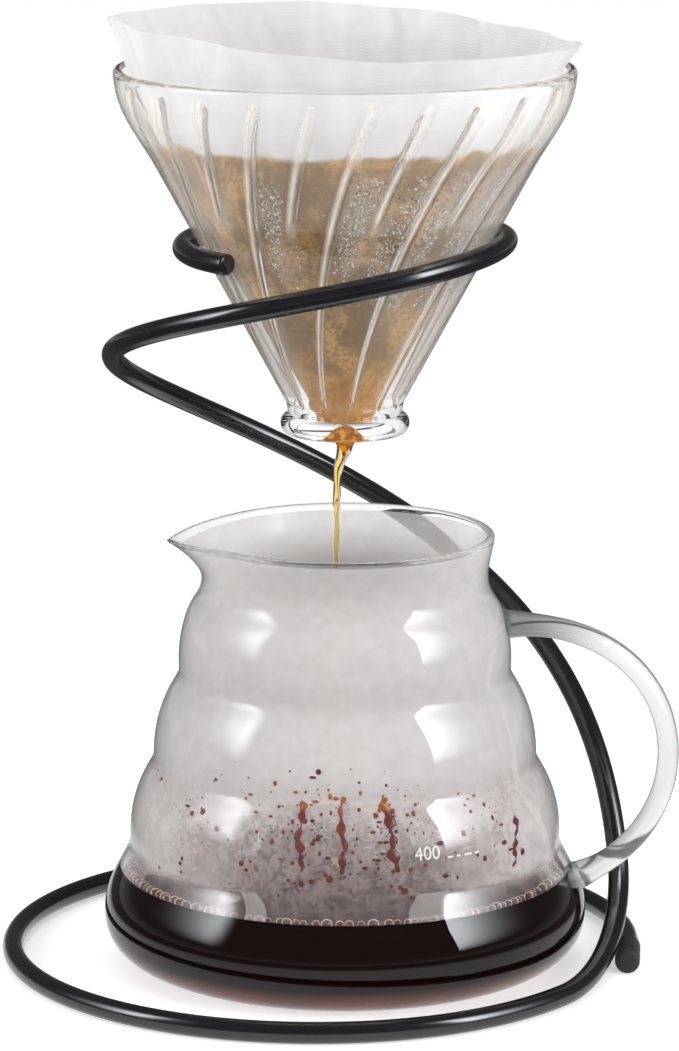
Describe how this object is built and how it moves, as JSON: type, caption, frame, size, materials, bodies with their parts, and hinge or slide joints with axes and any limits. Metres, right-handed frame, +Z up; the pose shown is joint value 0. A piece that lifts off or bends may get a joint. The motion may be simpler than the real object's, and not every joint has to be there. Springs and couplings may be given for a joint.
{
  "type": "pour-over dripper stand",
  "caption": "Pour-over stand bent from a black rod: a base loop rises as a helix to a ring that holds a ribbed glass cone with a paper filter above a rippled glass coffee server.",
  "frame": {"origin": "middle of the server's flat foot, on the table, straight below the dripper's outlet", "axes": "+Z up along the axis of dripper and server, +X towards the server's handle, -Y towards the viewer"},
  "size_m": [0.1732, 0.1621, 0.2418],
  "materials": {
    "black_rod": "satin black coating",
    "cap_rubber": "matte",
    "dripper_clear": "clear, polished",
    "filter_paper": "matte",
    "wet_grounds": "wet",
    "server_clear": "clear, polished",
    "handle_clear": "clear, polished",
    "coffee": "liquid"
  },
  "bodies": {
    "stand": {"stand_rod": "black_rod", "base_end_cap": "cap_rubber"},
    "dripper": {"dripper_glass": "dripper_clear"},
    "filter": {"paper_filter": "filter_paper", "coffee_slurry": "wet_grounds"},
    "server": {"server_glass": "server_clear", "server_handle": "handle_clear", "brewed_coffee": "coffee"}
  },
  "joints": [
    {"name": "dripper_lift", "type": "slide", "parent": "stand", "child": "dripper", "axis": [0, 0, 1], "range_m": [0, 0.1]},
    {"name": "filter_lift", "type": "slide", "parent": "dripper", "child": "filter", "axis": [0, 0, 1], "range_m": [0, 0.12]},
    {"name": "server_slide_out", "type": "slide", "parent": "stand", "child": "server", "axis": [0, -0.9511, 0.309], "range_m": [0, 0.17]}
  ]
}
